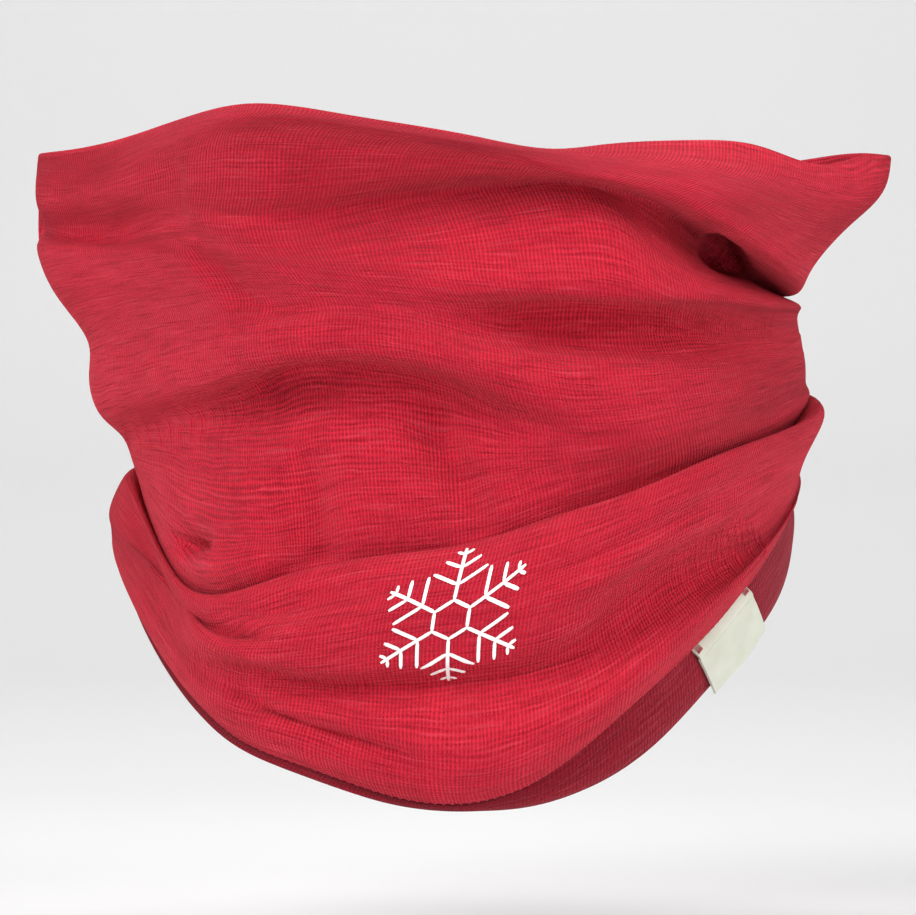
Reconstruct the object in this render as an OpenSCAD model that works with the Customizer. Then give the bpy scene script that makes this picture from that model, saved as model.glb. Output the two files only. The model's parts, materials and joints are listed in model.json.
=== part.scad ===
// Neck gaiter: a double-layer knitted tube, drawn as it is worn over the nose and gathered round the neck.
// Millimetres. +Z is up, the wearer faces -Y, and +X is the wearer's left, on the right seen from the front.
// The origin is on the axis of the neck, level with the lowest point of the front hem.

/* [Overall size] */
// Width across the two flared top corners
top_width = 249; // [235:1:265]
// Width of the gathered part round the neck
cowl_width = 200; // [190:1:210]
// Height from the lowest point of the hem to the top edge
height = 182; // [174:1:190]
// Reach of the cloth in front of the neck axis
front_reach = 100; // [94:1:106]
// Reach of the cloth behind the neck axis
back_reach = 70; // [66:1:76]

/* [Cloth] */
// Thickness of one layer of knitted cloth
cloth = 1.4; // [1.2:0.1:1.6]
// Air between the outer and the inner layer
air = 0.5; // [0.4:0.1:0.8]
// How far the nose lifts the cloth
nose_lift = 7; // [0:1:10]
// Most that the lining rolls out below the bottom seam
facing_drop = 14; // [10:1:16]

/* [Edges and seams] */
// Height of the turned top edge
top_fold_height = 5; // [4:0.5:6]
// Thickness of the rolled bottom seam
seam_bead = 2.4; // [2:0.1:3]
// Diameter of the sewing thread along the bottom seam
thread_d = 0.8; // [0.6:0.1:1]
// Width of the flat seam down the back
back_seam_width = 5; // [4:0.5:6]
// Height that the flat seam stands proud of the cloth
back_seam_proud = 0.7; // [0.5:0.1:0.8]

/* [Label and print] */
// Length of the woven label along the seam
label_length = 26; // [22:1:30]
// Height of the woven label below the seam
label_height = 12; // [10:1:14]
// Thickness of the folded woven label
label_thick = 0.8; // [0.6:0.1:1]
// Radius of the printed six-armed motif
motif_radius = 20; // [17:1:20]
// Width of the printed lines
motif_line = 0.9; // [0.8:0.1:1.4]
// Height that the printed film stands proud of the cloth
motif_film = 0.4; // [0.3:0.1:0.5]

/* [Hidden] */

shell_red = [0.78, 0.14, 0.20];
lining_red = [0.58, 0.11, 0.16];
thread_red = [0.66, 0.11, 0.17];
label_white = [0.88, 0.88, 0.80];
print_white = [0.95, 0.95, 0.94];

segs = 48;          // stations round every ring
steps = 2;          // rings between two neighbouring guides
proud = 0.15;       // gap between the cloth and what lies on it

half_cowl = cowl_width / 2;
half_top = top_width / 2;

// Guides of the outer layer, in the order of the cloth, from the bottom seam to the top edge.
// left and right are shares of the cowl's half width, front and back are shares of the reaches,
// the four heights are shares of the height, and the last number is how pointed the sides are.
//     left  right front back   z front left  right back   point
guides = [
    [0.98, 0.97, 0.92, 0.94,  0.03, 0.35, 0.44, 0.44,  0.0],  // bottom seam
    [1.00, 0.99, 0.98, 0.99,  0.11, 0.39, 0.47, 0.47,  0.0],  // low belly of the cowl
    [1.01, 1.00, 1.00, 1.00,  0.22, 0.42, 0.50, 0.51,  0.0],  // belly
    [0.99, 1.03, 0.97, 1.00,  0.31, 0.46, 0.54, 0.55,  0.0],  // shoulder of the roll
    [0.94, 1.01, 0.88, 0.95,  0.345, 0.48, 0.565, 0.57,  0.0],  // crest of the roll
    [0.86, 0.93, 0.75, 0.85,  0.27, 0.42, 0.50, 0.51,  0.0],  // bottom of the tuck behind the roll
    [0.84, 0.92, 0.66, 0.83,  0.37, 0.46, 0.54, 0.55,  0.0],  // foot of the face part
    [0.92, 0.96, 0.68, 0.86,  0.47, 0.52, 0.59, 0.59,  0.0],  // throat
    [1.02, 0.99, 0.91, 0.91,  0.59, 0.60, 0.64, 0.65,  0.1],  // chin
    [1.10, 0.99, 0.95, 0.94,  0.72, 0.72, 0.72, 0.74,  0.2],  // mouth
    [1.20, 1.05, 0.95, 0.93,  0.85, 0.85, 0.84, 0.85,  0.4],  // cheeks
    [1.24, 1.25, 0.92, 0.88,  0.972, 0.972, 0.972, 0.95,  0.5]  // top edge
];
tuck_row = 5;
top_row = len(guides) - 1;
throat_row = 7;

// One guide's numbers at any place v along the cloth, on a smooth curve through the guides
function clamp_row(i) = max(0, min(top_row, i));
function catmull(p0, p1, p2, p3, t) =
    0.5 * (2 * p1 + (p2 - p0) * t + (2 * p0 - 5 * p1 + 4 * p2 - p3) * t * t
    + (3 * p1 - p0 - 3 * p2 + p3) * t * t * t);
function guide_at(v) =
    let (i = min(floor(v), top_row - 1))
    catmull(guides[clamp_row(i - 1)], guides[i], guides[i + 1], guides[clamp_row(i + 2)], v - i);

// Azimuth a is 0 at the front, 90 on the right, 180 at the back and -90 on the left
function wide_scale(v) = v < throat_row ? half_cowl : half_cowl
    + (half_top / 1.245 - half_cowl) * (v - throat_row) / (top_row - throat_row);
function side_reach(g, a) = sin(a) < 0 ? g[0] : g[1];
function pointed(a, point) =
    let (w = abs(((a + 540) % 360) - 180), q = w > 90 ? 180 - w : w)
    (1 - point) * abs(sin(a)) + point * q / 90;
function nose(v, a) =
    nose_lift * exp(-pow((a + 40) / 26, 2)) * max(0, min(1, (v - throat_row) / 2));
function rise(g, a) =
    let (side = sin(a) < 0 ? g[5] : g[6], end = cos(a) > 0 ? g[4] : g[7], p = sin(a) < 0 ? 3 : 2)
    end + (side - end) * pow(abs(sin(a)), p);

// The outer surface of the outer layer
function cloth_at(v, a) =
    let (g = guide_at(v))
    [
        sign(sin(a)) * side_reach(g, a) * wide_scale(v) * pointed(a, g[8]),
        cos(a) > 0 ? -(g[2] * front_reach * pow(cos(a), 0.9) + nose(v, a)) : g[3] * back_reach * -cos(a),
        rise(g, a) * height
    ];

function unit(p) = p / norm(p);
function outward(v, a) =
    let (
        dv = 0.04,
        da = 2,
        up = cloth_at(min(top_row, v + dv), a) - cloth_at(max(0, v - dv), a),
        along = cloth_at(v, a + da) - cloth_at(v, a - da)
    )
    unit(cross(along, up));
function skin(v, a, out) = cloth_at(v, a) + out * outward(v, a);

// Closed solid between two grids of points: outer[i][j] and inner[i][j], where j goes round the tube
module tube_between(outer, inner) {
    rows = len(outer);
    cols = len(outer[0]);
    points = concat([for (r = outer) each r], [for (r = inner) each r]);
    function at(side, i, j) = (side * rows + i) * cols + (j % cols);
    function quad(p, q, r, s) = [[p, q, r], [p, r, s]];
    faces = concat(
        [for (i = [0 : rows - 2], j = [0 : cols - 1]) each
            quad(at(0, i, j), at(0, i + 1, j), at(0, i + 1, j + 1), at(0, i, j + 1))],
        [for (i = [0 : rows - 2], j = [0 : cols - 1]) each
            quad(at(1, i, j), at(1, i, j + 1), at(1, i + 1, j + 1), at(1, i + 1, j))],
        [for (j = [0 : cols - 1]) each
            quad(at(0, 0, j), at(0, 0, j + 1), at(1, 0, j + 1), at(1, 0, j))],
        [for (j = [0 : cols - 1]) each
            quad(at(0, rows - 1, j), at(1, rows - 1, j), at(1, rows - 1, j + 1), at(0, rows - 1, j + 1))]
    );
    polyhedron(points, faces, convexity = 10);
}

// Closed solid swept along stations, each a list of the points of one cross-section
module sweep(stations, closed = false) {
    n = len(stations);
    m = len(stations[0]);
    points = [for (s = stations) each s];
    last = closed ? n - 1 : n - 2;
    sides = [for (i = [0 : last], k = [0 : m - 1]) each
        let (p = i * m + k, q = i * m + (k + 1) % m, r = ((i + 1) % n) * m + (k + 1) % m,
            s = ((i + 1) % n) * m + k)
        [[p, q, r], [p, r, s]]];
    caps = closed ? [] : [[for (k = [m - 1 : -1 : 0]) k], [for (k = [0 : m - 1]) (n - 1) * m + k]];
    polyhedron(points, concat(sides, caps), convexity = 6);
}

function round_angles() = [for (j = [0 : segs - 1]) j * 360 / segs];
function rows_between(v0, v1) =
    let (n = ceil((v1 - v0) * steps))
    [for (i = [0 : n]) v0 + (v1 - v0) * i / n];
function layer(vs, out) = [for (v = vs) [for (a = round_angles()) skin(v, a, out)]];

shell_in = -cloth;
lining_out = -cloth - air;
lining_in = lining_out - cloth;
joint_gap = 0.02;                     // share of a guide left open on each side of the tuck
face_end = top_row - 0.18;            // the face part stops below the turned top edge

module shell_cowl() {
    color(shell_red) tube_between(layer(cowl_rows, 0), layer(cowl_rows, shell_in));
}

module shell_face() {
    color(shell_red) tube_between(layer(face_rows, 0), layer(face_rows, shell_in));
}

// How far the lining rolls out below the seam, which is most at the front right
function roll_out(a) = 2.6 + facing_drop * exp(-pow((a - 48) / 26, 2));

// The lining leaves the seam, hangs below it as a narrow facing, turns and climbs inside the seam
facing_start = seam_bead * 1.1;       // below the seam row, clear of the bead
turn_seen = 2.4;                      // radius of the turn on its visible side
turn_hidden = turn_seen - cloth;      // and on the side between the two limbs
function facing_point(a, in, down) =
    let (p = cloth_at(0, a), radial = unit([p.x, p.y, 0]))
    p - (proud + in) * radial - [0, 0, down];
function turn_depth(a) = facing_start + roll_out(a) - turn_seen;
function facing_rows(turn) = concat(
    [[for (a = round_angles()) facing_point(a, turn_seen - turn, facing_start)]],
    [for (t = [0 : 36 : 180]) [for (a = round_angles())
        facing_point(a, turn_seen - turn * cos(t), turn_depth(a) + turn * sin(t))]],
    [[for (a = round_angles()) facing_point(a, turn_seen + turn, -seam_bead * 0.2)]]
);

module lining_neck() {
    hidden = concat(facing_rows(turn_hidden), layer(neck_rows, lining_out));
    seen = concat(facing_rows(turn_seen), layer(neck_rows, lining_in));
    color(lining_red) tube_between(hidden, seen);
}

module lining_face() {
    color(lining_red) tube_between(layer(face_rows, lining_out), layer(face_rows, lining_in));
}

// Round bead that follows the edge of the tube at row v, lifted along the cloth by up
function bead_station(v, a, centre, up, half_thick, half_high, sides) =
    let (
        n = outward(v, a),
        along = unit(cloth_at(v, a + 2) - cloth_at(v, a - 2)),
        climb = unit(cross(n, along)),
        mid = skin(v, a, centre) + up * climb
    )
    [for (k = [0 : sides - 1]) mid + half_thick * cos(k * 360 / sides) * n + half_high * sin(k * 360 / sides) * climb];

module top_fold() {
    centre = lining_in / 2;
    half_thick = -lining_in / 2 + 0.2;
    color(shell_red) sweep(
        [for (a = round_angles())
            bead_station(top_row, a, centre, top_fold_height * 0.2, half_thick, top_fold_height / 2, 10)],
        closed = true);
}

module bottom_seam() {
    color(lining_red) sweep(
        [for (a = round_angles())
            bead_station(0, a, -cloth * 0.7, -seam_bead * 0.6, seam_bead / 2, seam_bead * 0.45, 8)],
        closed = true);
}

module bottom_seam_thread() {
    color(thread_red) sweep(
        [for (a = round_angles())
            bead_station(0, a, thread_d * 0.62, seam_bead * 0.3, thread_d / 2, thread_d / 2, 8)],
        closed = true);
}

// Flat seam band down the back, on some rows of a cloth part, between two distances from the outer surface
module back_band(vs, out0, out1) {
    half_angle = asin(back_seam_width / 2 / half_cowl);
    color(thread_red) sweep([for (v = vs) [
        skin(v, 180 - half_angle, out0),
        skin(v, 180 + half_angle, out0),
        skin(v, 180 + half_angle, out1),
        skin(v, 180 - half_angle, out1)
    ]]);
}
function some(list, first, last) = [for (i = [first : len(list) - 1 - last]) list[i]];
cowl_rows = rows_between(0, tuck_row - joint_gap);
neck_rows = some(cowl_rows, 1, 0);
face_rows = rows_between(tuck_row + joint_gap, face_end);

module shell_seam_lower() back_band(some(cowl_rows, 1, 0), proud, back_seam_proud);
module shell_seam_upper() back_band(some(face_rows, 1, 1), proud, back_seam_proud);
module lining_seam_lower() back_band(some(neck_rows, 2, 5), lining_in - back_seam_proud, lining_in - 2 * proud);
module lining_seam_upper() back_band(some(face_rows, 1, 1), lining_in - back_seam_proud, lining_in - 2 * proud);

// The label's own frame: origin at the middle of its seam edge, along the seam, down the cloth, outward
label_azimuth = 47;
label_at = cloth_at(0, label_azimuth);
label_along = unit(cloth_at(0, label_azimuth + 8) - cloth_at(0, label_azimuth - 8));
label_radial = unit([label_at.x, label_at.y, 0]);
label_out = unit(label_radial - (label_radial * label_along) * label_along);
label_down = cross(label_along, label_out);
label_lift = 2;
function label_point(along, down, out) =
    label_at + along * label_along + down * label_down + (label_lift + out) * label_out;

module label_block(x0, x1, y0, y1, z0, z1)
    sweep([for (x = [x0, x1]) [
        label_point(x, y0, z0), label_point(x, y0, z1), label_point(x, y1, z1), label_point(x, y1, z0)
    ]]);

module woven_label() {
    color(label_white)
        label_block(-label_length / 2, label_length / 2, 0.9, label_height, -label_thick / 2, label_thick / 2);
}

// Two short bar tacks hold the label's ends in the seam
module label_tack() {
    tack = 3;
    color(thread_red) for (end = [-1, 1]) {
        x = end * (label_length / 2 - tack);
        label_block(min(x, x + end * tack), max(x, x + end * tack), -1.4, -0.2, -0.5, 0.5);
    }
}

// A printed line on the outer surface, between two points of the motif's own plane
motif_azimuth = -2;
motif_height = 40;    // along the cloth from the bottom seam to the motif's middle
function stretch(i) = norm(cloth_at(i + 1, motif_azimuth) - cloth_at(i, motif_azimuth));
function row_at(mm, i = 0) =
    mm < stretch(i) || i >= tuck_row ? i + mm / stretch(i) : row_at(mm - stretch(i), i + 1);
function motif_skin(p, out) =
    skin(row_at(motif_height + p.y), motif_azimuth + p.x / front_reach * 180 / PI, out);
module motif_stroke(p, q) {
    n = max(2, ceil(norm(q - p) / 4));
    side = motif_line / 2 * unit([p.y - q.y, q.x - p.x]);
    sweep([for (i = [0 : n]) let (c = p + (q - p) * i / n) [
        motif_skin(c - side, proud), motif_skin(c + side, proud),
        motif_skin(c + side, motif_film), motif_skin(c - side, motif_film)
    ]]);
}

// Generic six-armed snow crystal with two pairs of barbs on each arm
module print_motif() {
    function polar(r, t) = [r * sin(t), r * cos(t)];
    hub = motif_radius * 0.16;
    color(print_white) for (arm = [0 : 60 : 300]) {
        motif_stroke(polar(hub, arm), polar(motif_radius, arm));
        for (share = [0.5, 0.76], lean = [-1, 1]) {
            foot = polar(motif_radius * share, arm);
            motif_stroke(
                foot + polar(motif_line * 0.6, arm + lean * 90),
                foot + polar(motif_radius * (1.06 - share) * 0.6, arm + lean * 55));
        }
    }
}

shell_cowl();
shell_face();
lining_neck();
lining_face();
top_fold();
bottom_seam();
bottom_seam_thread();
shell_seam_lower();
shell_seam_upper();
lining_seam_lower();
lining_seam_upper();
woven_label();
label_tack();
print_motif();
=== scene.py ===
"""Neck gaiter as worn: a double-layer knitted tube over the nose, gathered in a roll round the neck.

Lengths are millimetres until a mesh is made, and metres for the room. +Z is up and the wearer faces -Y.
"""

import json
import math

import bpy
import numpy as np
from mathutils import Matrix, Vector
from mathutils.bvhtree import BVHTree


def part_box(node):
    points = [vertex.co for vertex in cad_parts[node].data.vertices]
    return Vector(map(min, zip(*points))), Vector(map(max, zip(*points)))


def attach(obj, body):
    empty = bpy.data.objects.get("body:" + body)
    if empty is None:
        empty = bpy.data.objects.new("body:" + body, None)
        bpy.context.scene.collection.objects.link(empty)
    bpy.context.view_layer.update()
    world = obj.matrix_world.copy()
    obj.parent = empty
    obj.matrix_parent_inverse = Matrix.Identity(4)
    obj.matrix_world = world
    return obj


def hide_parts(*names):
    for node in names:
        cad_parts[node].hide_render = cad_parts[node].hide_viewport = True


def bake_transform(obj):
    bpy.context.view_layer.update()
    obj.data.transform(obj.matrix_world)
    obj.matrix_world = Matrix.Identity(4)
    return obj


MM = 0.001
EYE_BACK = 1000.0  # the camera's distance from the neck axis
EYE_HIGH = 91.0  # and its height
LENS = 135.5
SENSOR = 36.0

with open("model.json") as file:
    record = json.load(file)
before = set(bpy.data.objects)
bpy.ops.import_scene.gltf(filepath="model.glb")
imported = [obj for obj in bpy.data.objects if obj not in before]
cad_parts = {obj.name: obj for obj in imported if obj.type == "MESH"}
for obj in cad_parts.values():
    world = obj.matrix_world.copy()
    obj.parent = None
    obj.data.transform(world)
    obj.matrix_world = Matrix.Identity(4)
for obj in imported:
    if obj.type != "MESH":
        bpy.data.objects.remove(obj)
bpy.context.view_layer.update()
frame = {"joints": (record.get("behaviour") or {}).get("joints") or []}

CLOTH = 0.9  # thickness of the outer layer as it is shown
INNER_CLOTH = CLOTH * 0.8  # and of the inner layer
LAYER_GAP = 1.5  # from the outer face of the shell to the outer face of the lining
WALE = 1.05  # pitch of the knitted columns
COURSE = 0.8  # pitch of the knitted rows
FRONT_COLUMNS = 264
BACK_COLUMNS = 118
BACK_SEAM = 2.0  # where the seam down the back is, across
ROW_PITCH = 1.7  # distance between the rows of the cloth's grid
EDGE_PITCH = 2.2  # the same, where the inner layer turns under the hem


# ---------------------------------------------------------------- curves
def spline(t, p, q):
    """Smooth curve through the points p at places t, evaluated at places q."""
    t, p, q = np.asarray(t, float), np.asarray(p, float), np.asarray(q, float)
    shape = p.shape[1:]
    p = p.reshape(len(t), -1)
    n, h = len(t), np.diff(t)
    a, b = np.eye(n), np.zeros_like(p)
    for i in range(1, n - 1):
        a[i, i - 1 : i + 2] = h[i - 1], 2 * (h[i - 1] + h[i]), h[i]
        b[i] = 6 * ((p[i + 1] - p[i]) / h[i] - (p[i] - p[i - 1]) / h[i - 1])
    m = np.linalg.solve(a, b)
    i = np.clip(np.searchsorted(t, q, side="right") - 1, 0, n - 2)
    u, v, w = (q - t[i])[:, None], (t[i + 1] - q)[:, None], h[i][:, None]
    s = (m[i] * v**3 + m[i + 1] * u**3) / (6 * w)
    s += (p[i] / w - m[i] * w / 6) * v + (p[i + 1] / w - m[i + 1] * w / 6) * u
    return s.reshape((len(q),) + shape)


def seen(points):
    """World points of (across, up, y): across and up are as the camera sees them against y = 0."""
    p = np.asarray(points, float)
    k = (EYE_BACK + p[:, 2]) / EYE_BACK
    return np.stack(
        [p[:, 0] * k, p[:, 2], EYE_HIGH + (p[:, 1] - EYE_HIGH) * k], axis=1
    )


def apparent(co):
    k = EYE_BACK / (EYE_BACK + co[..., 1])
    return co[..., 0] * k, EYE_HIGH + (co[..., 2] - EYE_HIGH) * k


HALF_BACK = BACK_COLUMNS // 2
turn = np.concatenate(
    [
        np.linspace(1.5 * math.pi, 2 * math.pi, HALF_BACK, endpoint=False),
        np.linspace(0, math.pi, FRONT_COLUMNS, endpoint=False),
        np.linspace(math.pi, 1.5 * math.pi, HALF_BACK, endpoint=False),
    ]
)


# where the arc behind the neck gets its points, in turn from the right outline
BACK_AT = np.radians([28, 56, 84, 112, 140, 160])


def ring(points, back):
    """Closed ring round the tube: given points in front, from left to right, and an arc behind.

    back is (y, z) of the arc's middle, or the list of its own points.
    """
    front = seen(points)
    left, right = front[0], front[-1]
    mid, half = (left[0] + right[0]) / 2, (right[0] - left[0]) / 2
    t = np.arccos(np.clip((mid - front[:, 0]) / half, -1, 1))
    if len(back) == 2:
        tb = math.pi + BACK_AT
        share = (tb - math.pi) / math.pi
        swell = np.sin(tb - math.pi)
        yz = right[1:] + (left[1:] - right[1:]) * share[:, None]
        yz[:, 0] += (back[0] - (left[1] + right[1]) / 2) * swell**0.9
        yz[:, 1] += (back[1] - (left[2] + right[2]) / 2) * swell**1.6
    else:
        behind = np.array(back, float)
        tb = 2 * math.pi - np.arccos(np.clip((mid - behind[:, 0]) / half, -1, 1))
        yz = behind[:, 1:]
    t = np.concatenate([t, tb])
    p = np.concatenate([front[:, 1:], yz])
    around = 2 * math.pi
    t = np.concatenate([t[-4:] - around, t, t[:4] + around])
    p = np.concatenate([p[-4:], p, p[:4]])
    yz = spline(t, p, turn)
    x = mid - half * np.cos(turn)
    x += (BACK_SEAM - mid) * np.clip(-np.sin(turn), 0, 1) ** 3
    return np.stack([x, yz[:, 0], yz[:, 1]], axis=1)


def loft(rings, pitch):
    """Grid of points on a smooth surface through the rings, with rows about pitch apart."""
    p = np.array(rings)
    step = np.linalg.norm(np.diff(p, axis=0), axis=2)
    mean = step.mean(axis=1)
    knots = np.concatenate([[0], np.cumsum(mean**0.75)])
    rows = []
    for i, d in enumerate(np.percentile(step, 70, axis=1)):
        n = max(2, int(round(d / pitch)))
        rows += list(np.linspace(knots[i], knots[i + 1], n, endpoint=False))
    rows.append(knots[-1])
    return spline(knots, p, np.array(rows)), np.interp(
        rows, knots, np.arange(len(knots))
    )


def normals_of(grid):
    across = np.roll(grid, -1, axis=1) - np.roll(grid, 1, axis=1)
    up = np.gradient(grid, axis=0)
    n = np.cross(across, up)
    return n / np.maximum(np.linalg.norm(n, axis=2, keepdims=True), 1e-9)


# ---------------------------------------------------------------- guides of the cloth
# Each guide is a curve round the tube: points (across, up, y) from the left outline to the right one,
# then (y, z) behind the neck.
COWL = [
    # bottom seam
    ring([(-95, 64, 10), (-86, 36, -42), (-66, 11, -74), (-42, 0.5, -88), (-18, -7.5, -93.5), (5, -9, -95),
        (26, -1, -94), (46, 15, -89), (63.6, 31, -79), (84.3, 54, -57), (96.2, 80, -6)], (63, 81)),
    # just above the seam
    ring([(-99, 67, 6), (-90.5, 41, -42), (-70, 15.5, -76), (-44, 4.5, -91.5), (-18, -3.5, -97.5),
        (5, -5, -99), (28, 3, -98.5), (49, 19, -94), (67, 36.5, -83), (88, 60, -58), (97.6, 83, -5)],
        (66, 84)),
    # hem band
    ring([(-100.3, 70, 3), (-91, 47, -46), (-71, 22, -80), (-44, 14, -96), (-18, 8, -101), (5, 7, -103),
        (28, 14, -103), (50, 27, -99), (68, 43, -88.5), (88, 63, -65), (99, 86, -6)], (68.5, 88)),
    # crease below the belly
    ring([(-100.6, 73, 2), (-91, 53, -46), (-73, 29.5, -79), (-45, 23.5, -96), (-20, 24.3, -100),
        (5, 26, -101.5), (28, 30.5, -101), (48, 40, -96), (68, 54, -84), (87, 66, -61), (98.5, 87, -8)],
        (69.5, 91)),
    # belly
    ring([(-101, 76, 1), (-92.5, 59, -48), (-76, 38.5, -84), (-48, 35.5, -101), (-20, 40, -104.5),
        (5, 43, -106), (28, 48, -106), (50, 56, -101.5), (70, 67, -88.5), (88, 77, -64), (100, 92, -8)],
        (70, 95)),
    # upper belly
    ring([(-99, 82, 2), (-92, 66, -44), (-78, 47, -79), (-52, 48.5, -97.5), (-22, 54, -103),
        (5, 58, -104.5), (28, 65, -104.5), (50, 73, -101.5), (71, 82.5, -92), (90, 91, -69),
        (104.3, 99, -14)], (69, 99)),
    # crest of the roll
    ring([(-95, 87, 3), (-90, 72, -38.5), (-78.5, 53.5, -70), (-52, 56.3, -90), (-22, 62.6, -95.5),
        (5, 66.6, -97.5), (28, 74, -97.5), (50, 81, -96), (71, 90, -88), (92, 98, -64), (105.6, 106, -14)],
        (66, 103)),
    # behind the crest
    ring([(-92, 85, 3), (-87.5, 68, -36), (-76.5, 50, -66.5), (-51, 51, -87), (-21, 57, -93), (5, 60, -95),
        (27, 68, -95), (48, 76, -93), (68, 85, -84.5), (88.5, 93, -60), (101.5, 109, -9)], (63, 99)),
    # bottom of the tuck
    ring([(-91, 81, 4), (-87, 66, -34), (-75, 47, -63), (-49.5, 47, -83.5), (-20, 52.5, -89.5),
        (5, 55.5, -91.5), (26.5, 63.5, -91), (47, 71.5, -88.5), (65.5, 81, -81), (85, 89.5, -55),
        (98.4, 104, -7)], (59.5, 93.5)),
]
FACE = [
    COWL[-1],
    # foot, where the face part comes into view
    ring([(-92, 86, 3), (-88.7, 73, -39.5), (-77.7, 55.5, -69), (-51, 57.5, -87.5), (-21, 63, -90),
        (5, 67.5, -92), (27, 75, -92), (48, 82.5, -89.5), (68.5, 91, -85.5), (89, 99, -63),
        (101.5, 109, -10)], (58.5, 97)),
    # throat
    ring([(-94.5, 92, 1), (-88.5, 86, -43), (-73, 79, -71), (-48, 79, -84), (-27, 83, -88), (5, 84, -90),
        (27, 88, -92.5), (48, 92, -93.5), (69, 98, -90), (88, 104.5, -65.5), (100.8, 112, -8)], (59, 102)),
    # below the chin
    ring([(-98, 98, 0), (-86, 101, -46), (-68, 103, -71), (-45, 106, -82), (-18, 107, -87), (5, 102, -90),
        (28, 98, -94), (48, 99, -95), (69, 103.5, -88.5), (88.3, 109, -63), (100.5, 115, -6)], (60, 107)),
    # chin
    ring([(-104, 104, -2), (-87, 109, -52), (-67, 113, -77), (-43, 116.5, -90), (-18, 116.5, -94),
        (5, 112, -96), (28, 107, -95.5), (50, 107, -93.5), (70, 110, -84.5), (88, 114, -59),
        (100.4, 118.5, -4)], (61, 112)),
    # above the chin
    ring([(-106.8, 114, -4), (-89, 119, -52), (-67, 123.5, -80), (-42, 125.5, -95), (-17, 124.5, -98.5),
        (6, 119, -99), (30, 115, -95), (52, 115, -90), (71, 117, -79.5), (88, 119, -54), (100, 122, -4)],
        (62.5, 119)),
    # shallow valley below the mouth
    ring([(-107, 124, -5), (-91, 130, -50), (-68, 133, -79), (-42, 135, -94), (-16, 133.5, -98),
        (8, 130, -95.5), (31, 126.5, -89.5), (52, 125, -85.5), (71, 125, -76.5), (88, 125.5, -53.5),
        (99.6, 127.5, -4)], (64, 127)),
    # mouth and cheeks
    ring([(-116.5, 138, -4), (-97, 143, -44), (-73, 146, -74), (-45, 145, -93), (-18, 143, -97.5),
        (8, 141, -98.5), (31, 139, -99.5), (52, 136.5, -97), (71, 134, -87), (87, 132, -62),
        (98.8, 132.5, -4)], (64.5, 136)),
    # above the mouth, the rim of the pocket on the right
    ring([(-122, 151, -3), (-101, 153, -38), (-77, 153, -70), (-47, 152, -88), (-18, 156, -90),
        (8, 160, -89.5), (31, 163, -90.5), (48, 159.5, -91), (60, 148.5, -89.5), (68, 143.5, -86.5),
        (76, 141, -79.5), (86, 138.8, -65), (98, 135.7, -10)], (64.5, 146)),
    # valley under the roll, deep in the pocket on the right
    ring([(-122.7, 157, -3), (-102, 157.5, -34), (-79, 160, -69), (-48, 160, -84), (-19, 165, -85),
        (8, 169, -85.5), (31, 171, -88), (47, 167.5, -88.5), (57, 162.5, -84), (65, 156.5, -70),
        (74, 150, -50), (83, 144, -37), (93, 137.6, -16)], (64, 152)),
    # underside of the roll
    ring([(-122.7, 162, -3), (-103, 164, -33), (-81, 168, -70.5), (-51, 168, -88), (-20, 171.5, -90),
        (8, 173, -93), (31, 172.3, -97.5), (52, 168, -97.5), (69, 160.2, -91), (83.5, 151, -76),
        (98.5, 138.6, -32)], (63.5, 157)),
    # front of the roll
    ring([(-122.5, 168, -2), (-103, 170, -34.5), (-83, 177, -74.5), (-55, 180, -100), (-23, 179, -99.5),
        (8, 177.5, -99), (31, 174, -101), (54, 169, -101), (73, 162, -97), (90, 152.5, -81),
        (101.8, 144.8, -28)], (63, 162)),
    # top of the roll
    ring([(-122, 174, -2), (-102, 176, -36), (-82, 184, -75), (-58, 188.5, -109), (-26, 186, -108),
        (7, 181.4, -102), (32, 177.5, -98), (57, 174.3, -95), (79, 169, -87), (97, 161.5, -60),
        (113.5, 158.5, -16)], (62, 168)),
    # just under the edge
    ring([(-121.9, 176.5, -2), (-101, 180, -36), (-79.5, 188, -74), (-59.5, 191.6, -107),
        (-29, 188.4, -107), (6, 183, -98.5), (30, 179.6, -92), (50, 178.6, -86), (72, 177, -76),
        (91, 173.2, -56), (108, 168.6, -34), (123.8, 169.8, -4)], [(115, 17, 172.5), (97, 38, 172),
        (50, 58.5, 171), (0, 61.5, 170), (-55, 54.5, 171), (-99.5, 28, 173)]),
    # top edge
    ring([(-121.7, 178.3, -2), (-100, 182.4, -36), (-78, 190, -72), (-60, 193.6, -103), (-30, 190, -105),
        (6, 184, -95), (28, 180.6, -86), (42, 181.8, -78), (65, 183, -65), (86, 181.6, -51), (99, 177, -39),
        (107, 175.6, -29), (116, 177.8, -14), (125.6, 177.5, -2)], [(118, 16, 179.4), (98, 38, 178.6),
        (50, 58, 176), (0, 61, 174), (-55, 54, 175), (-100, 27, 178)]),
]

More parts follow.
